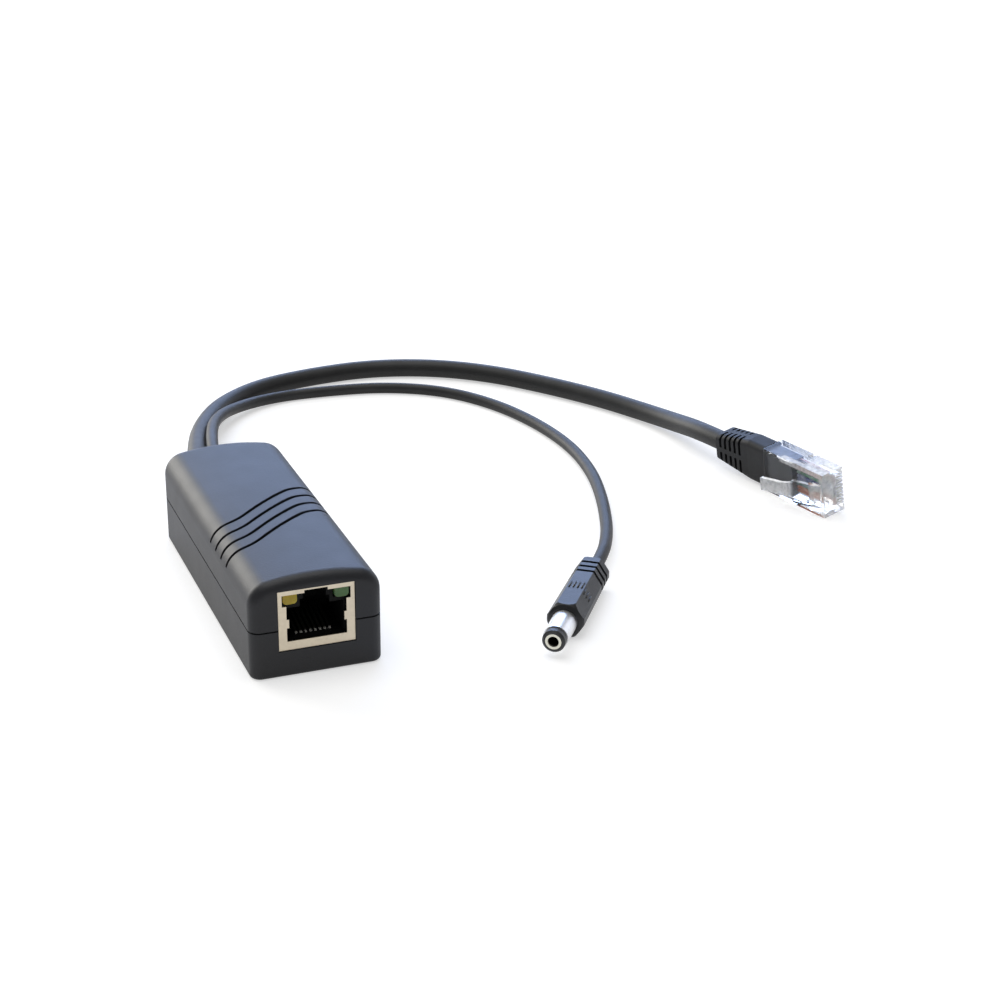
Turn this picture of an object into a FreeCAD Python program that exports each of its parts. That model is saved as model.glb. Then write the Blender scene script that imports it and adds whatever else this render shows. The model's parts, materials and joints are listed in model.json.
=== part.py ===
import FreeCAD, Part
import math
import os
import re

import Sketcher
from FreeCAD import Placement, Rotation, Vector

# PoE splitter, millimetres. X is the width, Y the length and Z is up.
# The origin is under the middle of the housing, the data socket faces -Y.

doc = FreeCAD.newDocument("splitter")
sheet = doc.addObject("Spreadsheet::Sheet", "dims")

SIZES = {
    # housing
    "case_width": 28.0, "case_length": 80.0, "case_height": 22.0, "wall": 2.0, "top_crown": 1.8,
    "shoulder_round": 5.0, "front_round": 2.4, "back_round": 4.0, "base_round": 0.9,
    "parting": 10.8, "seam_tall": 0.35, "seam_deep": 0.4, "fit_gap": 0.12,
    "lip_thick": 0.9, "lip_tall": 1.2, "lip_end": 6.0,
    "snap_reach": 0.3, "snap_tall": 0.5, "snap_long": 5.0, "snap_place": 18.0,
    # the four curved grooves on the lid
    "groove_wide": 1.0, "groove_deep": 0.6, "groove_pitch": 4.5, "groove_angle": 41.0,
    "groove_bend": 10.0, "groove_slope": 14.6, "groove_first": 0.1, "groove_low": 17.3, "groove_count": 4,
    # circuit board and its posts
    "board_base": 4.33, "board_thick": 1.6, "board_back": 9.0, "board_gap": 0.4,
    "post_radius": 1.6, "post_side": 9.0, "post_front": 25.5, "post_rear": 11.4,
    # shielded socket
    "jack_width": 16.15, "jack_tall": 13.18, "jack_long": 21.3, "jack_sunk": 0.3, "sheet_thick": 0.25,
    "face_thick": 0.35, "rim_side": 1.75, "rim_lamp": 0.85, "rim_base": 1.9, "rim_top": 0.95,
    "lamp_step": 3.45, "key_wide": 4.9, "bump_low": 4.9, "bump_high": 6.8, "bump_reach": 0.5,
    "socket_wide": 11.98, "socket_tall": 6.9, "socket_deep": 13.5, "latch_wide": 6.3, "latch_tall": 1.6,
    "pin_pitch": 1.016, "pin_wide": 0.45, "pin_thick": 0.3, "pin_count": 8, "pin_front": 3.1, "pin_tail": 1.0,
    "pin_rise": 2.45, "pin_reach": 9.3, "lamp_wide": 3.4, "lamp_deep": 5.5, "lamp_round": 0.8, "lamp_gap": 0.3,
    "tab_long": 1.6, "tab_place": 9.0, "insert_sunk": 1.0,
    # cords, and how they are held
    "data_cord": 5.0, "power_cord": 3.0, "data_exit": -2.6, "power_exit": 1.6, "cord_inside": 7.0,
    "cord_gap": 0.05, "rib_back": 6.0, "rib_thick": 1.2, "clamp_side": 0.9, "clamp_tall": 6.8,
    # modular plug on the data cord
    "plug_long": 21.5, "plug_thick": 6.5, "plug_wide": 11.68, "plug_pocket": 9.4, "plug_skin": 1.2,
    "blade_thick": 0.32, "blade_sunk": 0.2, "blade_long": 5.6, "core_wire": 0.94, "lever_thick": 0.95,
    "wire_place": 4.3, "wire_end": 1.0, "wire_pitch": 1.02,
    "lever_wide": 6.0, "lever_slim": 3.4, "lever_neck": 8.0, "lever_long": 16.6, "lever_slope": 0.28,
    "lever_root": 2.0, "lever_lift": 0.9,
    "boot_long": 18.0, "boot_front": 6.5, "boot_inset": 0.25, "boot_round": 1.5, "boot_rear_wide": 7.3, "boot_rear_thick": 7.1,
    "slot_pitch": 1.75, "slot_wide": 0.8, "slot_deep": 0.7, "slot_first": 1.3, "slot_count": 5, "spine": 1.3,
    "plug_x": 137.0, "plug_y": -5.6, "plug_turn": -76.6, "plug_lean": 9.5,
    # round plug on the power cord
    "barrel_radius": 2.75, "barrel_bore": 2.4, "barrel_long": 9.9, "sleeve_radius": 1.75, "sleeve_bore": 1.2,
    "ring_long": 2.0, "ring_radius": 2.5, "barrel_root": 4.0, "root_slope": 0.2, "barrel_collar": 3.05,
    "grip_radius": 4.4, "grip_nose": 3.2, "grip_dome": 2.0, "grip_long": 26.1, "grip_flat": 3.9, "flat_wide": 4.0,
    "grip_side": 4.1, "side_tall": 1.5, "grip_taper": 0.93, "grip_tail": 3.8, "tail_round": 0.7,
    "rib_groove": 1.0, "rib_pitch": 2.4, "rib_deep": 0.6, "rib_last": 2.2, "rib_count": 3,
    "dc_x": 47.23, "dc_y": -51.22, "dc_z": 3.92, "dc_turn": 53.5,
    # parts on the circuit board
    "magnetics_wide": 13.0, "magnetics_long": 9.4, "magnetics_tall": 5.8, "magnetics_place": -11.8,
    "can_radius": 4.0, "can_tall": 11.5, "can_side": -7.2, "input_can_place": -2.2, "output_can_place": 19.4,
    "core_wide": 16.0, "core_long": 12.0, "core_tall": 4.8, "core_side": -2.4, "core_place": 9.0, "core_leg": 2.0,
    "core_arm": 2.1, "core_lift": 6.2, "spool_wall": 0.7, "coil_thick": 1.1,
}

for row, (alias, value) in enumerate(SIZES.items(), start=1):
    sheet.set("A%d" % row, alias.replace("_", " "))
    sheet.set("B%d" % row, "%g" % value)
    sheet.setAlias("B%d" % row, alias)
doc.recompute()


def size(alias):
    return float(sheet.get(alias))


def formula(text):
    return re.sub(r"[a-z][a-z_]+", lambda word: "dims." + word.group(0) if word.group(0) in SIZES else word.group(0),
                  str(text))


def bind(thing, **rules):
    for name, text in rules.items():
        thing.setExpression(name.replace("__", "."), formula(text))
    return thing


def block(label, x0, x1, y0, y1, z0, z1):
    box = doc.addObject("Part::Box", label)
    bind(box, Length="(%s) - (%s)" % (x1, x0), Width="(%s) - (%s)" % (y1, y0), Height="(%s) - (%s)" % (z1, z0),
         Placement__Base__x=x0, Placement__Base__y=y0, Placement__Base__z=z0)
    return box


def rod(label, radius, tall, x, y, z, along="Z"):
    bar = doc.addObject("Part::Cylinder", label)
    bar.Placement = Placement(Vector(), {"Z": Rotation(), "X": Rotation(Vector(0, 1, 0), 90),
                                         "Y": Rotation(Vector(1, 0, 0), -90)}[along])
    bind(bar, Radius=radius, Height=tall, Placement__Base__x=x, Placement__Base__y=y, Placement__Base__z=z)
    return bar


def gather(kind, label, things):
    if len(things) == 1:
        return things[0]
    group = doc.addObject(kind, label)
    group.Shapes = things
    return group


def fuse(label, *things):
    return gather("Part::MultiFuse", label, list(things))


def common(label, first, second):
    both = doc.addObject("Part::Common", label)
    both.Base, both.Tool = first, second
    return both


def cut(label, base, *tools):
    less = doc.addObject("Part::Cut", label)
    less.Base, less.Tool = base, fuse(label + "_tools", *tools)
    return less


def new_body(label):
    return doc.addObject("PartDesign::Body", label)


def origin_plane(body, role):
    return next(item for item in body.Origin.OriginFeatures if item.Role == role)


def number(text):
    return float(sheet.evalExpression(formula(text)))


def outline(body, label, role, points, away="0"):
    """A closed polygon with its corners bound to formulas. A third item in a corner is the radius of an
    outward arc from there to the next corner."""
    sketch = body.newObject("Sketcher::SketchObject", label)
    sketch.AttachmentSupport = (origin_plane(body, role), [""])
    sketch.MapMode = "FlatFace"
    bind(sketch, AttachmentOffset__Base__z=away)
    spots = [Vector(number(point[0]), number(point[1]), 0) for point in points]
    for i, point in enumerate(points):
        here, there = spots[i], spots[(i + 1) % len(spots)]
        if len(point) == 2:
            sketch.addGeometry(Part.LineSegment(here, there), False)
        else:
            radius = number(point[2])
            half = (there - here).Length / 2
            out = Vector(there.y - here.y, here.x - there.x, 0).normalize()
            bulge = radius - math.sqrt(radius * radius - half * half)
            sketch.addGeometry(Part.Arc(here, (here + there) * 0.5 + out * bulge, there), False)
    for i in range(len(spots)):
        sketch.addConstraint(Sketcher.Constraint("Coincident", i, 2, (i + 1) % len(spots), 1))
    for i, point in enumerate(points):
        rules = [("DistanceX", point[0], spots[i].x), ("DistanceY", point[1], spots[i].y)]
        for kind, text, place in rules:
            which = sketch.addConstraint(Sketcher.Constraint(kind, -1, 1, i, 1, place))
            sketch.setExpression("Constraints[%d]" % which, formula(text))
        if len(point) == 3:
            which = sketch.addConstraint(Sketcher.Constraint("Radius", i, number(point[2])))
            sketch.setExpression("Constraints[%d]" % which, formula(point[2]))
    return sketch


def pad(body, label, sketch, length, midplane=False, reverse=False):
    solid = body.newObject("PartDesign::Pad", label)
    solid.Profile = sketch
    solid.Midplane = midplane
    solid.Reversed = reverse
    bind(solid, Length=length)
    doc.recompute()
    return solid


def round_edges(body, label, base, radius, test):
    names = ["Edge%d" % (i + 1) for i, edge in enumerate(base.Shape.Edges) if test(edge)]
    soft = body.newObject("PartDesign::Fillet", label)
    soft.Base = (base, names)
    bind(soft, Radius=radius)
    doc.recompute()
    return soft


def spots_of(edge):
    first, last = edge.ParameterRange
    return [edge.valueAt(first + (last - first) * part / 4) for part in range(5)]


def flat_at(edge, axis, place):
    return all(abs(getattr(spot, axis) - place) < 1e-4 for spot in spots_of(edge))


def centred(label, wide, y0, y1, z0, z1, x="0"):
    return block(label, "%s - (%s) / 2" % (x, wide), "%s + (%s) / 2" % (x, wide), y0, y1, z0, z1)


def repeat(label, tool, count, pitch, axis="x"):
    """Copies of a tool at an even pitch, as one group."""
    row = doc.addObject("Part::Feature", label)
    step = {"x": Vector(1, 0, 0), "y": Vector(0, 1, 0)}[axis] * pitch
    doc.recompute()
    row.Shape = Part.makeCompound([tool.Shape.translated(step * i) for i in range(int(count))])
    return row


def mitred(label, points, radius):
    """A thin round wire with mitred corners."""
    spots = [Vector(*point) for point in points]
    ring = Part.Wire([Part.Circle(spots[0], (spots[1] - spots[0]).normalize(), radius).toShape()])
    thing = doc.addObject("Part::Feature", label)
    thing.Shape = Part.makePolygon(spots).makePipeShell([ring], True, False, 1)
    return thing


def tube(label, points, radius):
    """A round tube along straight runs joined by tangent arcs, each as large as its runs allow."""
    spots = [Vector(*point) for point in points]
    edges = []
    here = spots[0]
    radii = []
    length = 0.0
    for before, corner, after in zip(spots, spots[1:], spots[2:]):
        come = (corner - before).normalize()
        leave = (after - corner).normalize()
        reach = 0.45 * min((corner - before).Length, (after - corner).Length)
        half_turn = come.getAngle(leave) / 2
        arc_radius = reach / math.tan(half_turn)
        inward = (leave - come).normalize()
        middle = corner + inward * (arc_radius / math.cos(half_turn) - arc_radius)
        edges.append(Part.LineSegment(here, corner - come * reach).toShape())
        edges.append(Part.Arc(corner - come * reach, middle, corner + leave * reach).toShape())
        here = corner + leave * reach
        radii.append(arc_radius)
    edges.append(Part.LineSegment(here, spots[-1]).toShape())
    path = Part.Wire(edges)
    start = (spots[1] - spots[0]).normalize()
    ring = Part.Wire([Part.Circle(spots[0], start, radius).toShape()])
    solid = path.makePipeShell([ring], True, False)
    thing = doc.addObject("Part::Feature", label)
    thing.Shape = solid
    print(label, "arc radii", " ".join("%.1f" % value for value in radii))
    print(label, "length %.1f" % path.Length, "volume %.1f" % solid.Volume,
          "section times length %.1f" % (math.pi * radius ** 2 * path.Length))
    return thing


# Housing

def case_form(label, inset, soft_base=True):
    """The outer form of the housing, moved inwards by an inset."""
    body = new_body(label)
    half = "case_width / 2 - (%s)" % inset
    top = "case_height - top_crown - (%s)" % inset
    crown = "((%s) * (%s) + top_crown * top_crown) / (2 * top_crown)" % (half, half)
    profile = outline(body, label + "_profile", "XZ_Plane",
                      [("-(%s)" % half, inset), (half, inset), (half, top, crown), ("-(%s)" % half, top)])
    solid = pad(body, label + "_pad", profile, "case_length - 2 * (%s)" % inset, midplane=True)
    depth = number(inset)
    half_long = size("case_length") / 2 - depth
    high = number(top)

    def shoulder(edge):
        return flat_at(edge, "z", high) and (flat_at(edge, "x", number(half)) or flat_at(edge, "x", -number(half)))

    solid = round_edges(body, label + "_shoulders", solid, "shoulder_round - (%s)" % inset, shoulder)
    for end, place, soft in (("front", -half_long, "front_round"), ("back", half_long, "back_round")):
        solid = round_edges(body, label + "_" + end, solid, "%s - (%s)" % (soft, inset),
                            lambda edge: flat_at(edge, "y", place) and not flat_at(edge, "z", depth))
    if soft_base:
        solid = round_edges(body, label + "_base", solid, "base_round - (%s)" % inset,
                            lambda edge: flat_at(edge, "z", depth))
    return body


def groove_strips():
    """One S-shaped strip across the lid, copied along the housing."""
    angle = math.radians(size("groove_angle"))
    bend = size("groove_bend")
    half_wide = size("groove_wide") / 2
    slope = size("groove_slope")
    centre = Vector(0, size("groove_first"), 0)
    along = Vector(math.cos(angle), math.sin(angle), 0)
    across = Vector(-math.sin(angle), math.cos(angle), 0)
    edge_x = size("case_width") / 2 + size("wall")

    def side(shift):
        low = centre - along * (slope / 2) + across * shift
        high = centre + along * (slope / 2) + across * shift
        low_radius, high_radius = bend - shift, bend + shift
        low_hub = low + across * low_radius
        high_hub = high - across * high_radius
        low_flat = low_hub - Vector(0, low_radius, 0)
        high_flat = high_hub + Vector(0, high_radius, 0)
        low_middle = low_hub + (low + low_flat - low_hub * 2).normalize() * low_radius
        high_middle = high_hub + (high + high_flat - high_hub * 2).normalize() * high_radius
        return [Part.LineSegment(Vector(-edge_x, low_flat.y, 0), low_flat), Part.Arc(low_flat, low_middle, low),
                Part.LineSegment(low, high), Part.Arc(high, high_middle, high_flat),
                Part.LineSegment(high_flat, Vector(edge_x, high_flat.y, 0))]

    upper, lower = side(half_wide), side(-half_wide)
    ends = [Part.LineSegment(lower[0].StartPoint, upper[0].StartPoint),
            Part.LineSegment(lower[-1].EndPoint, upper[-1].EndPoint)]
    face = Part.Face(Part.Wire(Part.__sortEdges__([curve.toShape() for curve in upper + lower + ends])))
    face.translate(Vector(0, 0, size("groove_low")))
    strip = face.extrude(Vector(0, 0, size("case_height")))
    strips = doc.addObject("Part::Feature", "groove_strips")
    pitch = size("groove_pitch")
    copies = [strip.translated(Vector(0, -pitch * i, 0)) for i in range(int(size("groove_count")))]
    strips.Shape = Part.makeCompound(copies)
    return strips


FAR = "2 * case_length"
FRONT = "(-case_length / 2)"
REAR = "(case_length / 2)"
INNER = "(case_width / 2 - wall)"
BOARD_TOP = "(board_base + board_thick)"
JACK_TOP = "(board_base + board_thick + jack_tall)"
JACK_FRONT = "(-case_length / 2 + jack_sunk)"
JACK_REAR = "(-case_length / 2 + jack_sunk + jack_long)"
RIB = "(case_length / 2 - rib_back)"
ACROSS = "(case_width / 2 - wall) / 12"
ALONG = "(case_length - rib_back - jack_sunk - jack_long) / 52.4"

outer_form = case_form("outer_form", "0")
cavity_form = case_form("cavity_form", "wall", soft_base=False)
seam_form = case_form("seam_form", "seam_deep")
groove_form = case_form("groove_form", "groove_deep")

groove_cutter = cut("groove_cutter", groove_strips(), groove_form)
seam_slab = centred("seam_slab", FAR, "-" + FAR, FAR, "parting - seam_tall", "parting")
seam_cutter = cut("seam_cutter", seam_slab, seam_form)
upper_space = centred("upper_space", FAR, "-" + FAR, FAR, "parting", FAR)
lower_space = centred("lower_space", FAR, "-" + FAR, FAR, "-wall", "parting")


def socket_window(label):
    return centred(label, "jack_width + 2 * fit_gap", FRONT + " - wall", FRONT + " + 2 * wall",
                   BOARD_TOP + " - fit_gap", JACK_TOP + " + fit_gap")


def cord_space(label, start, end):
    """Room for both cords and for the narrow strip between them."""
    long = "(%s) - (%s)" % (end, start)
    return [rod(label + "_data", "data_cord / 2 + cord_gap", long, "data_exit", start, "parting", "Y"),
            rod(label + "_power", "power_cord / 2 + cord_gap", long, "power_exit", start, "parting", "Y"),
            block(label + "_strip", "data_exit", "power_exit", start, end, "parting - power_cord / 4",
                  "parting + power_cord / 4")]


def cord_holes(label):
    return cord_space(label, REAR + " - 1.5 * wall", REAR + " + wall / 2")


def clamp_rib(label, low, high):
    """A rib across the housing with a half-round seat for each cord."""
    rib = centred(label + "_blank", "2 * %s + wall" % INNER, RIB, RIB + " + rib_thick", low, high)
    return cut(label, rib, *cord_space(label + "_seat", RIB + " - rib_thick", RIB + " + 2 * rib_thick"))


def posts(label, low, high):
    """Four round posts that hold the circuit board between the two shells."""
    return fuse(label, *[rod("%s_%d%d" % (label, sx, sy), "post_radius", "(%s) - (%s)" % (high, low),
                             "%d * post_side" % sx, place, low)
                         for sx in (-1, 1) for sy, place in ((0, FRONT + " + post_front"), (1, REAR + " - post_rear"))])


upper_inside = fuse("upper_inside", clamp_rib("upper_rib", "parting + fit_gap", "case_height - wall / 2"),
                    posts("upper_posts", BOARD_TOP + " + fit_gap", "case_height - wall / 2"),
                    centred("jack_stop", "jack_width / 2", "-case_length / 2 + 3 * wall",
                            "-case_length / 2 + 3 * wall + rib_thick", JACK_TOP + " + fit_gap",
                            "max(case_height - wall / 2; %s + wall)" % JACK_TOP))
upper_wall = cut("upper_wall", common("upper_blank", outer_form, upper_space), cavity_form)
upper_whole = fuse("upper_whole", upper_wall, common("upper_ribs", upper_inside, seam_form))

LIP_ENDS = ("-case_length / 2 + lip_end", "case_length / 2 - lip_end")
lip_blocks, lip_rebates = [], []
for sign, name in ((1, "right"), (-1, "left")):
    near, far = "%d * %s" % (sign, INNER), "%d * (%s + lip_thick)" % (sign, INNER)
    far_cut, far_snap = ("%d * (%s + lip_thick + %s)" % (sign, INNER, more) for more in ("fit_gap", "snap_reach"))
    snap_cut = "%d * (%s + lip_thick + snap_reach + fit_gap)" % (sign, INNER)
    pair = (near, far) if sign > 0 else (far, near)
    lip_blocks.append(block("lip_" + name, pair[0], pair[1], LIP_ENDS[0], LIP_ENDS[1], "parting - lip_tall",
                            "parting + lip_tall"))
    near_cut = "%d * (%s - lip_thick)" % (sign, INNER)
    pair = (near_cut, far_cut) if sign > 0 else (far_cut, near_cut)
    lip_rebates.append(block("rebate_" + name, pair[0], pair[1], LIP_ENDS[0] + " - fit_gap",
                             LIP_ENDS[1] + " + fit_gap", "parting - lip_tall", "parting + lip_tall + fit_gap"))
    for place, end in (("-snap_place", "front"), ("snap_place", "rear")):
        pair = (far, far_snap) if sign > 0 else (far_snap, far)
        lip_blocks.append(block("snap_%s_%s" % (name, end), pair[0], pair[1], place + " - snap_long / 2",
                                place + " + snap_long / 2", "parting + lip_tall - snap_tall", "parting + lip_tall"))
        pair = (far, snap_cut) if sign > 0 else (snap_cut, far)
        lip_rebates.append(block("snap_seat_%s_%s" % (name, end), pair[0], pair[1],
                                 place + " - snap_long / 2 - fit_gap", place + " + snap_long / 2 + fit_gap",
                                 "parting + lip_tall - snap_tall - fit_gap", "parting + lip_tall + fit_gap"))

upper_shell = cut("upper_shell", upper_whole, groove_cutter, socket_window("upper_window"),
                  *(cord_holes("upper_holes") + lip_rebates))

lower_inside = fuse("lower_inside", clamp_rib("lower_rib", "wall / 2", "parting"),
                    posts("lower_posts", "wall / 2", "board_base"))
lower_wall = cut("lower_wall", common("lower_blank", outer_form, lower_space), cavity_form)
lower_whole = fuse("lower_whole", lower_wall, common("lower_ribs", lower_inside, seam_form), *lip_blocks)
lower_shell = cut("lower_shell", lower_whole, seam_cutter, socket_window("lower_window"), *cord_holes("lower_holes"))


# Shielded data socket

def socket_face(body, label):
    """The opening in the front of the shield, with both lamp windows, the latch key and the side bumps."""
    low, high = "jack_width / 2 - rim_side", "jack_width / 2 - rim_lamp"
    base, step = BOARD_TOP + " + rim_base", JACK_TOP + " - lamp_step"
    top, key_top = JACK_TOP + " - rim_top", JACK_TOP + " - face_thick"
    bump_x = "jack_width / 2 - rim_side - bump_reach"
    bump_base, bump_top = BOARD_TOP + " + bump_low", BOARD_TOP + " + bump_high"
    right = [(low, base), (low, bump_base), (bump_x, bump_base), (bump_x, bump_top), (low, bump_top), (low, step),
             (high, step), (high, top), ("key_wide / 2", top), ("key_wide / 2", key_top)]
    left = [("-(%s)" % across, up) for across, up in reversed(right)]
    return outline(body, label, "XZ_Plane", right + left, away="case_length / 2 - jack_sunk - face_thick")


shield_can = cut("shield_can",
                 centred("shield_block", "jack_width", JACK_FRONT, JACK_REAR, BOARD_TOP, JACK_TOP),
                 centred("shield_hollow", "jack_width - 2 * sheet_thick", JACK_FRONT + " + face_thick",
                         JACK_REAR + " - sheet_thick", BOARD_TOP + " + sheet_thick", JACK_TOP + " - sheet_thick"),
                 centred("shield_pin_gap", "pin_pitch * (pin_count + 1)", JACK_REAR + " - 8 * sheet_thick - pin_tail",
                         JACK_REAR + " - 2 * sheet_thick", BOARD_TOP + " - wall", BOARD_TOP + " + 2 * sheet_thick"))
face_body = new_body("shield_opening")
pad(face_body, "shield_opening_pad", socket_face(face_body, "shield_opening_profile"), "2 * face_thick")
tabs = [block("shield_tab_" + name, "%d * (jack_width / 2 - sheet_thick * %d)" % (sign, first),
              "%d * (jack_width / 2 - sheet_thick * %d)" % (sign, second), JACK_FRONT + " + tab_place",
              JACK_FRONT + " + tab_place + tab_long", "board_base - pin_tail", BOARD_TOP + " + sheet_thick")
        for sign, name, first, second in ((1, "right", 1, 0), (-1, "left", 0, 1))]
jack_shield = fuse("jack_shield", cut("shield_open", shield_can, face_body), *tabs)

BODY_HALF = "(jack_width / 2 - sheet_thick - cord_gap)"
BODY_FRONT = "(%s + face_thick + insert_sunk)" % JACK_FRONT
BODY_REAR = "(%s - sheet_thick - cord_gap)" % JACK_REAR
BODY_BASE = "(%s + sheet_thick + cord_gap)" % BOARD_TOP
BODY_TOP = "(%s - sheet_thick - cord_gap)" % JACK_TOP
FLOOR = "(%s + rim_base)" % BOARD_TOP

socket_body = new_body("socket_space")
half_side = [("socket_wide / 2", FLOOR), ("socket_wide / 2", FLOOR + " + socket_tall"),
             ("latch_wide / 2", FLOOR + " + socket_tall"), ("latch_wide / 2", FLOOR + " + socket_tall + latch_tall"),
             ("key_wide / 2", FLOOR + " + socket_tall + latch_tall"), ("key_wide / 2", BODY_TOP + " - face_thick")]
socket_outline = outline(socket_body, "socket_profile", "XZ_Plane",
                         half_side + [("-" + across, up) for across, up in reversed(half_side)],
                         away="case_length / 2 - jack_sunk - face_thick - cord_gap - socket_deep")
pad(socket_body, "socket_pad", socket_outline, "socket_deep + wall")

LAMP_LOW, LAMP_HIGH = JACK_TOP + " - lamp_step", JACK_TOP + " - rim_top"
LAMP_OUT = "(jack_width / 2 - rim_lamp)"
lamp_seats = [block("lamp_seat_" + name, "%s" % (LAMP_OUT + " - lamp_wide" if sign > 0 else "-" + LAMP_OUT),
                    "%s" % (LAMP_OUT if sign > 0 else "-(%s - lamp_wide)" % LAMP_OUT), JACK_FRONT,
                    BODY_FRONT + " + lamp_deep", LAMP_LOW, LAMP_HIGH)
              for sign, name in ((1, "right"), (-1, "left"))]
PIN_FRONT = "(%s + pin_front)" % JACK_FRONT
PIN_BACK = "(%s - 4 * sheet_thick)" % JACK_REAR
doc.recompute()
first_slot = centred("pin_slot", "pin_wide + 2 * cord_gap", PIN_FRONT + " - 2 * cord_gap", PIN_BACK + " + cord_gap",
                     BODY_BASE + " - wall", FLOOR + " + cord_gap", x="-pin_pitch * (pin_count - 1) / 2")
pin_slots = repeat("pin_slots", first_slot, size("pin_count"), size("pin_pitch"))
insulator_block = centred("insulator_block", "2 * " + BODY_HALF, BODY_FRONT, BODY_REAR, BODY_BASE, BODY_TOP)
jack_insulator = cut("jack_insulator", insulator_block, socket_body, pin_slots, *lamp_seats)


def lamp(label, sign):
    """A lamp's light pipe: a block with its front edges rounded, flush behind the shield's window."""
    body = new_body(label)
    inner, outer = "%s - lamp_wide + fit_gap" % LAMP_OUT, "%s - lamp_gap" % LAMP_OUT
    near, far = (inner, outer) if sign > 0 else ("-(%s)" % outer, "-(%s)" % inner)
    low, high = LAMP_LOW + " + lamp_gap", LAMP_HIGH + " - cord_gap"
    face = outline(body, label + "_profile", "XZ_Plane", [(near, low), (far, low), (far, high), (near, high)],
                   away="case_length / 2 - jack_sunk - face_thick")
    solid = pad(body, label + "_pad", face, "lamp_deep", reverse=True)
    bottom = number(low)

    def lower_corner(edge):
        return flat_at(edge, "z", bottom) and not flat_at(edge, "y", edge.Vertexes[0].Point.y)

    round_edges(body, label + "_corners", solid, "lamp_round", lower_corner)
    return body


yellow_lamp = lamp("yellow_lamp", -1)
green_lamp = lamp("green_lamp", 1)

spring = new_body("contact_spring")
tail_y, wire = PIN_BACK, "pin_thick"
low_z, foot = BODY_BASE + " + cord_gap", "board_base - pin_tail"
spring_points = [(tail_y, foot), (tail_y, low_z + " + pin_thick"), (PIN_FRONT + " + pin_thick", low_z + " + pin_thick"),
                 (PIN_FRONT + " + pin_thick", FLOOR + " - pin_thick / 2"),
                 (PIN_FRONT + " + pin_reach", FLOOR + " + pin_rise - pin_thick"),
                 (PIN_FRONT + " + pin_reach", FLOOR + " + pin_rise"), (PIN_FRONT, FLOOR + " + pin_thick / 2"),
                 (PIN_FRONT, low_z), (tail_y + " - pin_thick", low_z), (tail_y + " - pin_thick", foot)]
spring_pad = pad(spring, "contact_pad", outline(spring, "contact_profile", "YZ_Plane", spring_points,
                                               away="-pin_pitch * (pin_count - 1) / 2"), "pin_wide", midplane=True)
spring_row = spring.newObject("PartDesign::LinearPattern", "contact_row")
spring_row.Originals = [spring_pad]
spring_row.Direction = (origin_plane(spring, "X_Axis"), [""])
bind(spring_row, Length="pin_pitch * (pin_count - 1)")
spring_row.Occurrences = int(size("pin_count"))
spring.Tip = spring_row
doc.recompute()


# Circuit board and what stands on it

board_blank = centred("board_blank", "2 * (%s - board_gap)" % INNER, FRONT + " + wall + board_gap", REAR + " - board_back",
                      "board_base", BOARD_TOP)
first_hole = rod("pin_hole", "pin_wide", "3 * board_thick", "-pin_pitch * (pin_count - 1) / 2",
                 PIN_BACK + " - pin_thick / 2", "board_base - board_thick")
pin_holes = repeat("pin_holes", first_hole, size("pin_count"), size("pin_pitch"))
tab_slots = [centred("tab_slot_" + name, "4 * sheet_thick", JACK_FRONT + " + tab_place - fit_gap",
                     JACK_FRONT + " + tab_place + tab_long + fit_gap", "board_base - wall", BOARD_TOP + " + wall",
                     x="%d * (jack_width / 2 - sheet_thick / 2)" % sign)
             for sign, name in ((1, "right"), (-1, "left"))]
circuit_board = cut("circuit_board", board_blank, pin_holes, *tab_slots)


def across(x):
    """A place across the board, which follows the width of the housing."""
    return "(%s) * %s" % (x, ACROSS)


def along(y):
    """A place along the board, between the socket and the clamp rib."""
    return "%s + (%s + 18.4) * %s" % (JACK_REAR, y, ALONG)


def chip(label, x, y, wide, long, tall, legs=0, side="x"):
    """A moulded chip on the board, with a row of legs on two sides."""
    pieces = [block(label + "_case", across(x - wide / 2), across(x + wide / 2), along(y - long / 2),
                    along(y + long / 2), BOARD_TOP + " + cord_gap", BOARD_TOP + " + %g" % tall)]
    span = long if side == "x" else wide
    for i in range(legs):
        place = (i + 0.5) * span / legs - span / 2
        if side == "x":
            corner = (across(x - wide / 2 - 0.8), across(x + wide / 2 + 0.8), along(y + place - 0.2),
                      along(y + place + 0.2))
        else:
            corner = (across(x + place - 0.2), across(x + place + 0.2), along(y - long / 2 - 0.8),
                      along(y + long / 2 + 0.8))
        pieces.append(block("%s_leg_%d" % (label, i), *corner, BOARD_TOP, BOARD_TOP + " + 0.3"))
    return fuse(label, *pieces)


def capacitor(label, x, y, radius, tall):
    """An upright electrolytic capacitor with its rolled groove near the foot."""
    body = new_body(label)
    low = BOARD_TOP
    points = [("0", low), (radius, low), (radius, low + " + 0.9"), (radius + " - 0.35", low + " + 1.25"),
              (radius + " - 0.35", low + " + 1.45"), (radius, low + " + 1.8"), (radius, low + " + %s - 0.5" % tall),
              (radius + " - 0.5", low + " + %s" % tall), (radius + " - 1", low + " + %s" % tall),
              (radius + " - 1", low + " + %s - 0.2" % tall), ("0", low + " + %s - 0.2" % tall)]
    turned = body.newObject("PartDesign::Revolution", label + "_turned")
    turned.Profile = outline(body, label + "_profile", "XZ_Plane", points)
    turned.ReferenceAxis = (origin_plane(body, "Z_Axis"), [""])
    turned.Angle = 360
    bind(body, Placement__Base__x=across(x), Placement__Base__y=along(y))
    doc.recompute()
    return body


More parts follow.
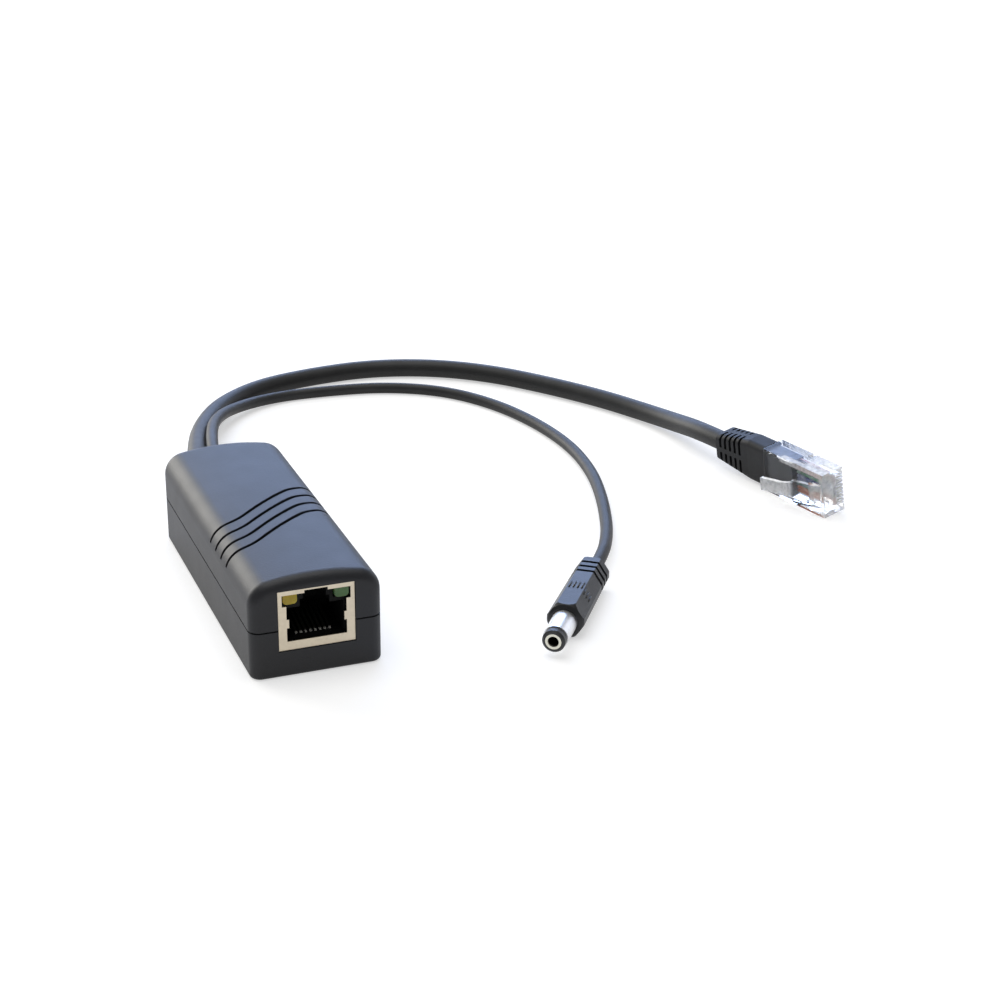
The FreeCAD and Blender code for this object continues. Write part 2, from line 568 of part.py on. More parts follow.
data_transformer = chip("data_transformer", 0.0, size("magnetics_place"), size("magnetics_wide"),
                        size("magnetics_long"), size("magnetics_tall"), legs=8, side="y")
CAN_RADIUS = "can_radius * min(%s; %s)" % (ACROSS, ALONG)
input_capacitor = capacitor("input_capacitor", "can_side", "input_can_place", CAN_RADIUS, "can_tall")
output_capacitor = capacitor("output_capacitor", "can_side", "output_can_place", CAN_RADIUS, "can_tall")
bridge_rectifiers = fuse("bridge_rectifiers_pair", chip("bridge_front", 0.4, -4.2, 4.0, 3.6, 2.4, legs=2),
                         chip("bridge_rear", 0.4, 0.2, 4.0, 3.6, 2.4, legs=2))
controller_chip = chip("controller_chip", 7.4, -2.2, 4.0, 5.0, 1.6, legs=4)
optocoupler = chip("optocoupler", 9.1, 8.0, 3.6, 4.4, 3.4, legs=2, side="y")
rectifier_diode = chip("rectifier_diode", 9.3, 14.6, 2.6, 4.2, 2.2, legs=1, side="y")
output_inductor = fuse("output_inductor",
                       *[rod("inductor_" + name, "%s * min(%s; %s)" % (radius, ACROSS, ALONG), tall, across(4.6),
                             along(19), BOARD_TOP + lift)
                         for name, radius, tall, lift in (("foot", 3.4, "0.8", ""), ("coil", 2.6, "3.2", " + 0.4"),
                                                          ("top", 3.4, "0.8", " + 3.2"))])
chip_resistors = doc.addObject("Part::Feature", "chip_resistors")
chip_places = [(-10.2, 4.4), (-10.2, -7.4), (3.8, -4.6), (10.4, 3.4), (10.4, -6.8), (-0.6, 17.9), (5.5, 28.2)]
chip_resistors.Shape = Part.makeCompound([
    Part.makeBox(0.8, 1.6, 0.5, Vector(number(across(x)) - 0.4, number(along(y)) - 0.8, number(BOARD_TOP)))
    for x, y in chip_places])

CORE_Z = "(%s + core_lift)" % BOARD_TOP
CORE_X, CORE_Y = "(%s)" % across("core_side"), "(%s)" % along("core_place")
CORE_WIDE, CORE_LONG, CORE_LEG = ("(%s * %s)" % pair for pair in (("core_wide", ACROSS), ("core_long", ALONG),
                                                                   ("core_leg", ACROSS)))


def core_half(label, sign):
    """One E-shaped half of the transformer's ferrite core."""
    body = new_body(label)
    half, arm, leg = CORE_WIDE + " / 2", "core_arm", CORE_LEG
    back, face = CORE_LONG + " / 2", "cord_gap / 2"
    inner = CORE_LONG + " / 2 - core_arm"
    points = [("-" + half, face), ("-%s + %s" % (half, arm), face), ("-%s + %s" % (half, arm), inner),
              ("-" + leg, inner), ("-" + leg, face), (leg, face), (leg, inner), ("%s - %s" % (half, arm), inner),
              ("%s - %s" % (half, arm), face), (half, face), (half, back), ("-" + half, back)]
    pad(body, label + "_pad", outline(body, label + "_profile", "XY_Plane", points, away="-core_tall / 2"), "core_tall")
    body.Placement = Placement(Vector(), Rotation(Vector(0, 0, 1), 0 if sign > 0 else 180))
    bind(body, Placement__Base__x=CORE_X, Placement__Base__y=CORE_Y, Placement__Base__z=CORE_Z)
    doc.recompute()
    return body


transformer_core = doc.addObject("Part::Feature", "transformer_core_pair")
core_halves = [core_half("core_front", -1), core_half("core_rear", 1)]
transformer_core.Shape = Part.makeCompound([half.Shape for half in core_halves])


def core_ring(label, inner_x, inner_z, thick, y_half):
    """A square tube round the core's middle leg."""
    return block(label + "_outer", "%s - (%s) - (%s)" % (CORE_X, inner_x, thick),
                 "%s + (%s) + (%s)" % (CORE_X, inner_x, thick), "%s - (%s)" % (CORE_Y, y_half),
                 "%s + (%s)" % (CORE_Y, y_half), "%s - (%s) - (%s)" % (CORE_Z, inner_z, thick),
                 "%s + (%s) + (%s)" % (CORE_Z, inner_z, thick))


LEG_X, LEG_Z = CORE_LEG + " + fit_gap", "core_tall / 2 + fit_gap"
SPOOL = CORE_LONG + " / 2 - core_arm - fit_gap"
leg_space = core_ring("leg_space", LEG_X, LEG_Z, "0", "core_long")
spool_tube = core_ring("spool_tube", LEG_X, LEG_Z, "spool_wall", SPOOL)
flange = "%s / 2 - core_arm - %s - 3 * fit_gap" % (CORE_WIDE, CORE_LEG)
coil_space = core_ring("coil_space", LEG_X, LEG_Z, flange, SPOOL + " - spool_wall")
flanges = core_ring("spool_flanges", LEG_X, LEG_Z, flange, SPOOL)
spool_foot = block("spool_foot", "%s - %s / 2 + core_arm" % (CORE_X, CORE_WIDE),
                   "%s + %s / 2 - core_arm" % (CORE_X, CORE_WIDE),
                   "%s - %s / 2 + core_arm + fit_gap" % (CORE_Y, CORE_LONG),
                   "%s - %s / 2 + core_arm + spool_wall" % (CORE_Y, CORE_LONG), BOARD_TOP,
                   CORE_Z + " - core_tall / 2")
transformer_bobbin = cut("transformer_bobbin",
                         fuse("spool_blank", cut("flange_pair", flanges, coil_space), spool_tube, spool_foot),
                         leg_space)
coil_outer = core_ring("coil_outer", LEG_X, LEG_Z, "spool_wall + cord_gap + coil_thick",
                       SPOOL + " - spool_wall - cord_gap")
coil_inner = core_ring("coil_inner", LEG_X, LEG_Z, "spool_wall + cord_gap", "core_long")
transformer_winding = cut("transformer_winding", coil_outer, coil_inner)


# Cords and their cores. The points are the corners of the runs, in order from the housing. The last two
# stand on the axis of each plug, on its rear face and behind it.

PLUG_POSE = Placement(Vector(size("plug_x"), size("plug_y"), 0),
                      Rotation(Vector(0, 0, 1), size("plug_turn")) * Rotation(Vector(1, 0, 0), size("plug_lean")))
ROUND_POSE = Placement(Vector(size("dc_x"), size("dc_y"), size("dc_z")),
                       Rotation(Vector(0, 0, 1), size("dc_turn")))
MIDDLE = "(plug_wide / 2)"
GRIP_END = "(barrel_long + grip_long)"


def behind_plugs(away):
    """The places at a distance behind the boot of the modular plug and behind the round plug's grip."""
    boot = Vector(-number("plug_long + boot_long") - away, number("plug_thick / 2"), number(MIDDLE))
    return tuple(PLUG_POSE.multVec(boot)), tuple(ROUND_POSE.multVec(Vector(number(GRIP_END) + away, 0, 0)))


BOOT_END, ROUND_END = behind_plugs(0)
BOOT_LEAD, ROUND_LEAD = behind_plugs(10.5)
CORD_START, CORD_OUT = number(REAR + " - cord_inside"), number(REAR) + 13
DATA_ROUTE = [(size("data_exit"), CORD_START, size("parting")), (size("data_exit"), CORD_OUT, size("parting")),
              (1.8, 73.0, 7.6), (7.6, 94.0, 4.1), (16.5, 112.5, 2.55), (30.0, 124.0, 2.5), (47.0, 128.6, 2.5),
              (65.0, 129.8, 2.5), (82.0, 124.5, 2.5), (96.0, 114.0, 2.5), (107.5, 99.5, 2.5), (117.5, 84.0, 2.5),
              (123.8, 70.5, 2.6), (127.2, 57.0, 3.8), BOOT_LEAD, BOOT_END]
POWER_ROUTE = [(size("power_exit"), CORD_START, size("parting")), (size("power_exit"), CORD_OUT, size("parting")),
               (5.5, 73.0, 10.1), (11.0, 93.0, 6.6), (19.6, 109.5, 3.0), (33.5, 118.3, 1.5), (49.0, 118.3, 1.5),
               (65.0, 116.0, 1.5), (79.5, 107.5, 1.5), (89.0, 93.0, 1.5), (94.5, 75.0, 1.5), (96.5, 56.0, 1.5),
               (94.6, 38.0, 1.5), (90.2, 21.5, 1.5), (84.6, 5.9, 1.6), (79.9, -4.4, 2.7), ROUND_LEAD, ROUND_END]
ethernet_cord = tube("ethernet_cord", DATA_ROUTE, size("data_cord") / 2)
dc_cord = tube("dc_cord", POWER_ROUTE, size("power_cord") / 2)


def cores(label, radius, starts, ends, turn, land, end):
    """Insulated cores from the end of a cord down to their pads on the board, by distances from the cord's end."""
    rest = number(BOARD_TOP) + radius
    wires = []
    for (start_x, start_z), (end_x, early) in zip(starts, ends):
        points = [(start_x, CORD_START, start_z), (start_x, CORD_START - turn - early, start_z),
                  (end_x, CORD_START - land - early, rest), (end_x, CORD_START - end - early, rest)]
        wires.append(mitred("%s_%d" % (label, len(wires)), points, radius).Shape)
    whole = doc.addObject("Part::Feature", label + "_row")
    whole.Shape = Part.makeCompound(wires)
    return whole


level, reach = size("parting"), 0.55
data_starts = [(size("data_exit") + (i - 1.5) * 2 * reach, level + side * reach) for side in (-1, 1) for i in range(4)]
data_ends = [(size("data_exit") + (i - 1.5) * 1.7, early) for early in (0, 2.6) for i in range(4)]
ethernet_conductors = cores("ethernet_conductors", 0.45, data_starts, data_ends, 1.3, 4.6, 6.1)
dc_wires = [cores(label, 0.55, [(size("power_exit") + side * 0.6, level)], [(size("power_exit") + 1.2 + side, 0)],
                  2.0, 5.8, 8.0)
            for label, side in (("dc_wire_red", -1), ("dc_wire_black", 1))]

# A clamp in two bores round both cords, between the clamp rib and the rear wall.
cord_clamp = cut("cord_clamp",
                 block("clamp_block", "data_exit - data_cord / 2 - clamp_side", "power_exit + power_cord / 2 + clamp_side",
                       RIB + " + rib_thick + fit_gap", REAR + " - wall - fit_gap", "parting - clamp_tall / 2",
                       "parting + clamp_tall / 2"),
                 *cord_space("clamp_bore", RIB, REAR))


# Modular plug. In its own frame the nose is at x = 0 with the plug behind it, the latch side is y = 0
# and the narrow side that rests on the floor is z = 0.

def pose_plug(thing):
    thing.Placement = PLUG_POSE
    return bind(thing, Placement__Base__x="plug_x", Placement__Base__y="plug_y")


def pin_z(i):
    return "%s + wire_pitch * %g" % (MIDDLE, i - 3.5)


def lever_form():
    """The latch lever: its side view and its plan, crossed."""
    side_body = new_body("lever_side")
    rise = "lever_slope * (lever_long - lever_root)"
    side_points = [("-lever_root / 4", "plug_skin / 2"), ("-lever_root / 4", "-lever_lift / 2"),
                   ("-lever_root", "-lever_lift - lever_thick / 2"),
                   ("-lever_long", "-lever_lift - lever_thick / 2 - " + rise),
                   ("-lever_long", "-lever_lift + lever_thick / 2 - " + rise),
                   ("-2 * lever_root", "-lever_lift + lever_thick / 2 - lever_slope * lever_root"),
                   ("-1.5 * lever_root", "plug_skin / 2")]
    pad(side_body, "lever_side_pad", outline(side_body, "lever_side_profile", "XY_Plane", side_points), "plug_wide")
    plan_body = new_body("lever_plan")
    wide, slim = "lever_wide / 2", "lever_slim / 2"
    half = [("0", MIDDLE + " - " + wide), ("-lever_neck", MIDDLE + " - " + wide),
            ("-lever_neck", MIDDLE + " - (%s + %s) / 2" % (wide, slim)), ("-1.4 * lever_neck", MIDDLE + " - " + slim),
            ("-lever_long - wall", MIDDLE + " - " + slim)]
    other = [(across, up.replace(" - (", " + (").replace(" - lever", " + lever")) for across, up in reversed(half)]
    pad(plan_body, "lever_plan_pad", outline(plan_body, "lever_plan_profile", "XZ_Plane", half + other,
                                             away="-plug_thick"), "3 * plug_thick")
    return common("lever", side_body, plan_body)


plug_block = block("plug_block", "-plug_long", "0", "0", "plug_thick", "0", "plug_wide")
plug_pocket = block("plug_pocket_space", "-plug_long - wall", "-plug_long + plug_pocket", "plug_skin",
                    "plug_thick - plug_skin", "plug_skin", "plug_wide - plug_skin")
wire_space = block("wire_space", "-plug_long", "-wire_end", "wire_place - core_wire / 2 - cord_gap",
                   "wire_place + core_wire / 2 + cord_gap", pin_z(0) + " - wire_pitch / 2 - cord_gap",
                   pin_z(7) + " + wire_pitch / 2 + cord_gap")
blade_slots = [block("blade_slot_%d" % i, "-blade_long - 2 * cord_gap - wire_end / 2", "wall", "wire_place",
                     "plug_thick + wall", pin_z(i) + " - blade_thick / 2 - cord_gap",
                     pin_z(i) + " + blade_thick / 2 + cord_gap") for i in range(8)]
side_steps = [block("side_step_%d" % i, "-plug_long + plug_pocket + wall", "-plug_long + plug_pocket + 1.6 * wall",
                    "plug_thick - 1.4 * plug_skin", "plug_thick + wall", low, high)
              for i, (low, high) in enumerate((("-wall", "plug_skin / 2"), ("plug_wide - plug_skin / 2",
                                                                            "plug_wide + wall")))]
modular_plug = pose_plug(cut("modular_plug", fuse("plug_blank", plug_block, lever_form()), plug_pocket, wire_space,
                             *(blade_slots + side_steps)))
plug_blades = pose_plug(fuse("plug_blades_row", *[
    block("blade_%d" % i, "-blade_long - wire_end / 2", "-wire_end / 2", "wire_place + core_wire / 2",
          "plug_thick - blade_sunk", pin_z(i) + " - blade_thick / 2", pin_z(i) + " + blade_thick / 2")
    for i in range(8)]))

TONGUE_FRONT = "(-plug_long + plug_pocket - fit_gap)"


def plug_wire(i):
    return rod("plug_wire_%d" % i, "core_wire / 2", "-wire_end - " + TONGUE_FRONT, TONGUE_FRONT, "wire_place", pin_z(i),
               "X")


wire_pairs = [(name, pose_plug(fuse(name + "_pair", *[plug_wire(i) for i in pair])))
              for name, pair in (("plug_wires_orange", (0, 1)), ("plug_wires_green", (2, 5)),
                                 ("plug_wires_blue", (3, 4)), ("plug_wires_brown", (6, 7)))]


def boot_form(label, inset):
    """The boot's outer form behind the plug, moved inwards by an inset on its four long sides."""
    body = new_body(label)
    places = ("-plug_long", "-plug_long - boot_front", "-plug_long - boot_long")
    front = ("(plug_thick / 2 - boot_inset - %s)" % inset, "(plug_wide / 2 - boot_inset - %s)" % inset)
    rear = ("(boot_rear_thick / 2 - %s)" % inset, "(boot_rear_wide / 2 - %s)" % inset)
    sections = []
    for i, (place, (thick, wide)) in enumerate(zip(places, (front, front, rear))):
        points = [("plug_thick / 2 %s %s" % (one, thick), "%s %s %s" % (MIDDLE, two, wide))
                  for one, two in (("-", "-"), ("+", "-"), ("+", "+"), ("-", "+"))]
        sections.append(outline(body, "%s_section_%d" % (label, i), "YZ_Plane", points, away=place))
    loft = body.newObject("PartDesign::AdditiveLoft", label + "_loft")
    loft.Profile, loft.Sections, loft.Ruled = sections[0], sections[1:], True
    doc.recompute()
    flat_ends = [number(place) for place in places]
    round_edges(body, label + "_soft", loft, "boot_round - (%s)" % inset,
                lambda edge: not any(flat_at(edge, "x", place) for place in flat_ends))
    return body


boot_outer = boot_form("boot_outer", "0")
boot_inner = boot_form("boot_inner", "slot_deep")
boot_tongue = block("boot_tongue", TONGUE_FRONT, "0", "0", "1", "0", "1")
bind(boot_tongue, Length="plug_pocket - fit_gap", Width="plug_thick - 2 * plug_skin - 2 * fit_gap",
     Height="plug_wide - 2 * plug_skin - 2 * fit_gap", Placement__Base__x="-plug_long",
     Placement__Base__y="plug_skin + fit_gap", Placement__Base__z="plug_skin + fit_gap")
slot_slabs = [block("boot_slot_%d" % i, "-plug_long - boot_long + slot_first + slot_pitch * %d" % i,
                    "-plug_long - boot_long + slot_first + slot_pitch * %d + slot_wide" % i, "-plug_wide",
                    "2 * plug_wide", "-plug_wide", "2 * plug_wide") for i in range(int(size("slot_count")))]
spines = [block("spine_thick", "-2 * plug_long", "0", "-plug_wide", "2 * plug_wide", MIDDLE + " - spine / 2",
                MIDDLE + " + spine / 2"),
          block("spine_wide", "-2 * plug_long", "0", "plug_thick / 2 - spine / 2", "plug_thick / 2 + spine / 2",
                "-plug_wide", "2 * plug_wide")]
slot_cutter = cut("slot_cutter", fuse("slot_slabs", *slot_slabs), boot_inner, *spines)
plug_boot = pose_plug(fuse("plug_boot", cut("boot_slotted", boot_outer, slot_cutter), boot_tongue))


# Round plug. In its own frame the tip is at x = 0 and the plug runs along +X.

def pose_round(thing):
    thing.Placement = ROUND_POSE
    return bind(thing, Placement__Base__x="dc_x", Placement__Base__y="dc_y", Placement__Base__z="dc_z")


def turned(label, points):
    body = new_body(label)
    whole = body.newObject("PartDesign::Revolution", label + "_turned")
    whole.Profile = outline(body, label + "_profile", "XZ_Plane", points)
    whole.ReferenceAxis = (origin_plane(body, "X_Axis"), [""])
    whole.Angle = 360
    doc.recompute()
    return body


def grip_form(label, inset):
    """The moulded grip: a turned form crossed with an eight-sided one, moved inwards by an inset."""
    low = " - (%s)" % inset
    round_form = turned(label + "_round", [
        ("barrel_long", "0"), ("barrel_long", "grip_nose" + low),
        ("barrel_long + 0.2 * grip_dome", "grip_nose + 0.5 * (grip_radius - grip_nose)" + low),
        ("barrel_long + 0.5 * grip_dome", "grip_nose + 0.85 * (grip_radius - grip_nose)" + low),
        ("barrel_long + grip_dome", "grip_radius" + low), (GRIP_END + " - tail_round", "grip_radius" + low),
        (GRIP_END, "grip_tail" + low), (GRIP_END, "0")])
    faceted = new_body(label + "_faceted")
    sections = []
    for i, (place, scale) in enumerate((("barrel_long", "1"), (GRIP_END, "grip_taper"))):
        high, wide = "(%s * grip_flat%s)" % (scale, low), "(%s * grip_side%s)" % (scale, low)
        narrow, short = "(%s * flat_wide / 2)" % scale, "(%s * side_tall / 2)" % scale
        points = [(wide, short), (narrow, high), ("-" + narrow, high), ("-" + wide, short), ("-" + wide, "-" + short),
                  ("-" + narrow, "-" + high), (narrow, "-" + high), (wide, "-" + short)]
        sections.append(outline(faceted, "%s_section_%d" % (label, i), "YZ_Plane", points, away=place))
    loft = faceted.newObject("PartDesign::AdditiveLoft", label + "_loft")
    loft.Profile, loft.Sections, loft.Ruled = sections[0], sections[1:], True
    doc.recompute()
    return common(label, round_form, faceted)


grip_outer = grip_form("grip_outer", "0")
grip_inner = grip_form("grip_inner", "rib_deep")
rib_slabs = [block("rib_slab_%d" % i, GRIP_END + " - rib_last - rib_groove - rib_pitch * %d" % i,
                   GRIP_END + " - rib_last - rib_pitch * %d" % i, "-barrel_long", "barrel_long", "-barrel_long",
                   "barrel_long") for i in range(int(size("rib_count")))]
rib_cutter = cut("rib_cutter", fuse("rib_slabs", *rib_slabs), grip_inner)
BARREL_END = "(barrel_long + barrel_root)"


def barrel_root(label):
    """The barrel's collar behind a short slope, which the grip is moulded round."""
    return turned(label, [("barrel_long", "0"), ("barrel_long", "barrel_radius"),
                          ("barrel_long + root_slope", "barrel_collar"), (BARREL_END, "barrel_collar"),
                          (BARREL_END, "0")])


dc_grip = pose_round(cut("dc_grip", grip_outer, rib_cutter, barrel_root("root_space")))
barrel_tube = rod("barrel_tube", "barrel_radius", "barrel_long - ring_long", "ring_long", "0", "0", "X")
dc_barrel = pose_round(cut("dc_barrel", fuse("barrel_blank", barrel_tube, barrel_root("root")),
                           rod("barrel_inner", "barrel_bore", "2 * barrel_long", "0", "0", "0", "X")))
liner = turned("tip_liner", [("0", "sleeve_radius"), (BARREL_END, "sleeve_radius"), (BARREL_END, "barrel_bore"),
                             ("ring_long", "barrel_bore"), ("ring_long", "ring_radius"), ("0.4", "ring_radius"),
                             ("0", "ring_radius - 0.4")])
dc_tip_insulator = pose_round(liner)
dc_inner_sleeve = pose_round(turned("inner_sleeve", [
    ("cord_gap", "sleeve_bore"), ("barrel_long", "sleeve_bore"), ("barrel_long", "0"),
    (BARREL_END, "0"), (BARREL_END, "sleeve_radius"), ("cord_gap", "sleeve_radius")]))


# Checks and export

NODES = {
    "upper_shell": upper_shell, "lower_shell": lower_shell, "jack_shield": jack_shield,
    "jack_insulator": jack_insulator, "jack_contacts": spring, "yellow_lamp": yellow_lamp, "green_lamp": green_lamp,
    "circuit_board": circuit_board, "data_transformer": data_transformer, "input_capacitor": input_capacitor,
    "output_capacitor": output_capacitor, "bridge_rectifiers": bridge_rectifiers, "controller_chip": controller_chip,
    "optocoupler": optocoupler, "rectifier_diode": rectifier_diode, "output_inductor": output_inductor,
    "chip_resistors": chip_resistors, "transformer_core": transformer_core, "transformer_bobbin": transformer_bobbin,
    "transformer_winding": transformer_winding, "ethernet_conductors": ethernet_conductors,
    "dc_wire_red": dc_wires[0], "dc_wire_black": dc_wires[1], "cord_clamp": cord_clamp,
    "ethernet_cord": ethernet_cord, "dc_cord": dc_cord,
    "modular_plug": modular_plug, "plug_blades": plug_blades, "plug_boot": plug_boot, "dc_grip": dc_grip,
    "dc_barrel": dc_barrel, "dc_tip_insulator": dc_tip_insulator, "dc_inner_sleeve": dc_inner_sleeve,
}
NODES.update(wire_pairs)

doc.recompute()
faulty = [thing.Name for thing in doc.Objects if "Invalid" in thing.State or "Error" in thing.State]
if faulty:
    raise RuntimeError("objects in error: " + ", ".join(faulty))
for name, thing in NODES.items():
    if thing.Shape.isNull() or not thing.Shape.isValid() or thing.Shape.Volume <= 0:
        raise RuntimeError("bad shape: " + name)
os.makedirs("parts", exist_ok=True)
for name, thing in NODES.items():
    thing.Label = name
    thing.Shape.exportStep("parts/%s.step" % name)
    box = thing.Shape.BoundBox
    print("%-20s volume %9.2f  x %7.2f %7.2f  y %7.2f %7.2f  z %6.2f %6.2f  solids %d" % (
        name, thing.Shape.Volume, box.XMin, box.XMax, box.YMin, box.YMax, box.ZMin, box.ZMax,
        len(thing.Shape.Solids)))
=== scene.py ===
import json
import math

import bmesh
import bpy
from mathutils import Matrix, Vector

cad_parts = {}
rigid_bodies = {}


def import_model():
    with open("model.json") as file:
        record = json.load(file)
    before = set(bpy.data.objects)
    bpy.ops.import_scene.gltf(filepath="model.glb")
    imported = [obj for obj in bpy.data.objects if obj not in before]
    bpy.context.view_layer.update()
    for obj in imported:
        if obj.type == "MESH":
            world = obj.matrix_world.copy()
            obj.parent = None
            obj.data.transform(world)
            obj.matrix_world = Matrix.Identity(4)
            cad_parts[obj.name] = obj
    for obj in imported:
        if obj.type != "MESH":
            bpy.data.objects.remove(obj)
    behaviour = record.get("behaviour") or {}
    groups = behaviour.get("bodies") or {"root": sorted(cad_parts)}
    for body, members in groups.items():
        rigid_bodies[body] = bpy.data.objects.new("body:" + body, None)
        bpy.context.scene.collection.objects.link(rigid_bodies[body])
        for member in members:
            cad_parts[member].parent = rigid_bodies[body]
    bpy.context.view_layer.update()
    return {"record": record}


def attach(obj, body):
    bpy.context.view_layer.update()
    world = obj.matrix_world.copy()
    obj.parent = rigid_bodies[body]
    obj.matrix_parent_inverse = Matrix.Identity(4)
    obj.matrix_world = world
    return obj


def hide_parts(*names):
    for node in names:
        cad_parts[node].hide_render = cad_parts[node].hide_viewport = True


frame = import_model()

MM_PER_M = 1000

# Where the two plugs lie: the modular plug's nose and the round plug's tip, with the turn of each.
MODULAR_PLACE = (0.137, -0.0056, 0.0)
MODULAR_TURN = (math.radians(9.5), 0.0, math.radians(-76.6))
ROUND_PLACE = (0.04723, -0.05122, 0.00392)
ROUND_TURN = (0.0, 0.0, math.radians(53.5))


# Node helpers

# The Mix node's colour sockets by number, because its other sockets have the same names.
MIX_AMOUNT, MIX_FIRST, MIX_SECOND, MIX_RESULT = 0, 6, 7, 2

# The part of the noise's range that shows in a surface.
USUAL_NOISE = (0.3, 0.7)


def put(tree, node, name, value):
    """Set an input of a node, or link it where the value comes from another node."""
    socket = node.inputs[name]
    if isinstance(value, bpy.types.NodeSocket):
        tree.links.new(value, socket)
    else:
        socket.default_value = value


def add(tree, kind, settings=None, **inputs):
    """A node with its settings and inputs. An underscore in an input's name stands for a space."""
    node = tree.nodes.new(kind)
    for name, value in (settings or {}).items():
        setattr(node, name, value)
    for name, value in inputs.items():
        put(tree, node, name.replace("_", " "), value)
    return node


def noise(tree, scale, detail=3.0):
    """Soft patches over the surface, which are smaller at a larger scale."""
    point = add(tree, "ShaderNodeTexCoord").outputs["Object"]
    return add(tree, "ShaderNodeTexNoise", Vector=point, Scale=scale, Detail=detail).outputs["Fac"]


def spread(tree, value, low, high, to_low=0.0, to_high=1.0):
    """The value, carried from low and high to to_low and to_high, and held at those beyond them."""
    node = add(tree, "ShaderNodeMapRange", Value=value, From_Min=low, From_Max=high, To_Min=to_low,
               To_Max=to_high)
    return node.outputs["Result"]


def patchy(tree, scale, low, high, noise_range=USUAL_NOISE):
    """A value that wanders between low and high over the surface."""
    return spread(tree, noise(tree, scale), *noise_range, low, high)


def blend(tree, amount, first, second):
    """A colour between two, each given as red, green and blue."""
    node = add(tree, "ShaderNodeMix", {"data_type": "RGBA"})
    put(tree, node, MIX_AMOUNT, amount)
    put(tree, node, MIX_FIRST, (*first, 1))
    put(tree, node, MIX_SECOND, (*second, 1))
    return node.outputs[MIX_RESULT]


def bump(tree, height, depth):
    return add(tree, "ShaderNodeBump", Height=height, Distance=depth).outputs["Normal"]


def math_of(tree, operation, first, second):
    node = add(tree, "ShaderNodeMath", {"operation": operation})
    put(tree, node, 0, first)
    put(tree, node, 1, second)
    return node.outputs[0]


def product(tree, first, second):
    return math_of(tree, "MULTIPLY", first, second)


def larger(tree, first, second):
    return math_of(tree, "MAXIMUM", first, second)


def in_frame(tree, place, turn):
    """The surface point's x, y and z in the frame of a plug, in metres."""
    point = add(tree, "ShaderNodeTexCoord").outputs["Object"]
    settings = {"vector_type": "TEXTURE"}
    moved = add(tree, "ShaderNodeMapping", settings, Vector=point, Location=place, Rotation=turn)
    return add(tree, "ShaderNodeSeparateXYZ", Vector=moved.outputs["Vector"]).outputs


def new_material(name):
    material = bpy.data.materials.new(name)
    material.use_nodes = True
    return material, material.node_tree, material.node_tree.nodes["Principled BSDF"]


# Materials

MOULD_GRAIN, MOULD_DEPTH, MOULD_DETAIL = 2600.0, 0.00003, 2.0
MOTTLE_NOISE = (0.35, 0.65)
GLOSS_MOTTLE, GLOSS_SWING = 2.3, 0.015
METAL_GRAIN, METAL_DEPTH, METAL_PATCHES = 1500.0, 0.00001, 500.0
METAL_DARKENS, METAL_SWING = 0.92, 0.05


def plastic(name, dark, light, rough, mottle=180.0, gloss=0.5):
    """Moulded plastic: two near tones in soft patches, a fine grain and a slightly uneven gloss."""
    material, tree, shader = new_material(name)
    patches = patchy(tree, mottle, 0.0, 1.0, MOTTLE_NOISE)
    put(tree, shader, "Base Color", blend(tree, patches, dark, light))
    uneven = patchy(tree, mottle * GLOSS_MOTTLE, rough - GLOSS_SWING, rough + GLOSS_SWING)
    put(tree, shader, "Roughness", uneven)
    put(tree, shader, "Normal", bump(tree, noise(tree, MOULD_GRAIN, MOULD_DETAIL), MOULD_DEPTH))
    put(tree, shader, "Specular IOR Level", gloss)
    return material


def metal(name, colour, rough):
    """Metal with faint darker patches, a fine grain and an uneven gloss."""
    material, tree, shader = new_material(name)
    dark = [part * METAL_DARKENS for part in colour]
    put(tree, shader, "Metallic", 1.0)
    put(tree, shader, "Base Color", blend(tree, patchy(tree, METAL_GRAIN, 0.0, 1.0), dark, colour))
    put(tree, shader, "Roughness", patchy(tree, METAL_PATCHES, rough - METAL_SWING, rough + METAL_SWING))
    put(tree, shader, "Normal", bump(tree, noise(tree, METAL_GRAIN), METAL_DEPTH))
    return material


# The whitish places of the clear plug in its own frame, in metres: frosted plastic at its nose and latch,
# and a painted highlight along its upper edge. Each pair gives where the white look starts and where it is
# full.
NOSE_X = (-0.0022, -0.0008)
# The upper edge's white band, set by the next three lines, is a painted highlight.
LEDGE_Z = (0.0101, 0.0105)
NEAR_EDGE_X, NEAR_EDGE_Y = (-0.0160, -0.0145), (0.0017, 0.0013)
FRONT_LEDGE_X, FRONT_LEDGE_SHARE = (-0.0095, -0.0070), 0.8
LATCH_Y = (-0.0001, -0.0003)
LATCH_TAIL_X, LATCH_ROOT_X = (-0.0080, -0.0092), (-0.0034, -0.0028)
SCUFF_GRAIN, SCUFF_NOISE, SCUFF_LEAST = 900.0, (0.3, 0.6), 0.6

# The clear plug's tints, the light that it lets through, and its gloss and gentle waves. The white tint
# stands for frosted plastic, and also for the painted highlight along the upper edge.
CLEAR_TINT, MILKY_AND_HIGHLIGHT_TINT, CLEAR_IOR = (0.76, 0.78, 0.82), (1.0, 1.0, 1.0), 1.15
CLEAR_PASSES, MILKY_AND_HIGHLIGHT_PASSES = 0.98, 0.5
CLEAR_GRAIN, CLEAR_ROUGH = 400.0, (0.02, 0.08)
WAVE_GRAIN, WAVE_DEPTH = 300.0, 0.00002


def ramp(tree, value, start, full, share=1.0):
    """Nothing on the near side of start, and the whole share on the far side of full."""
    if start < full:
        return spread(tree, value, start, full, 0.0, share)
    return spread(tree, value, full, start, share, 0.0)


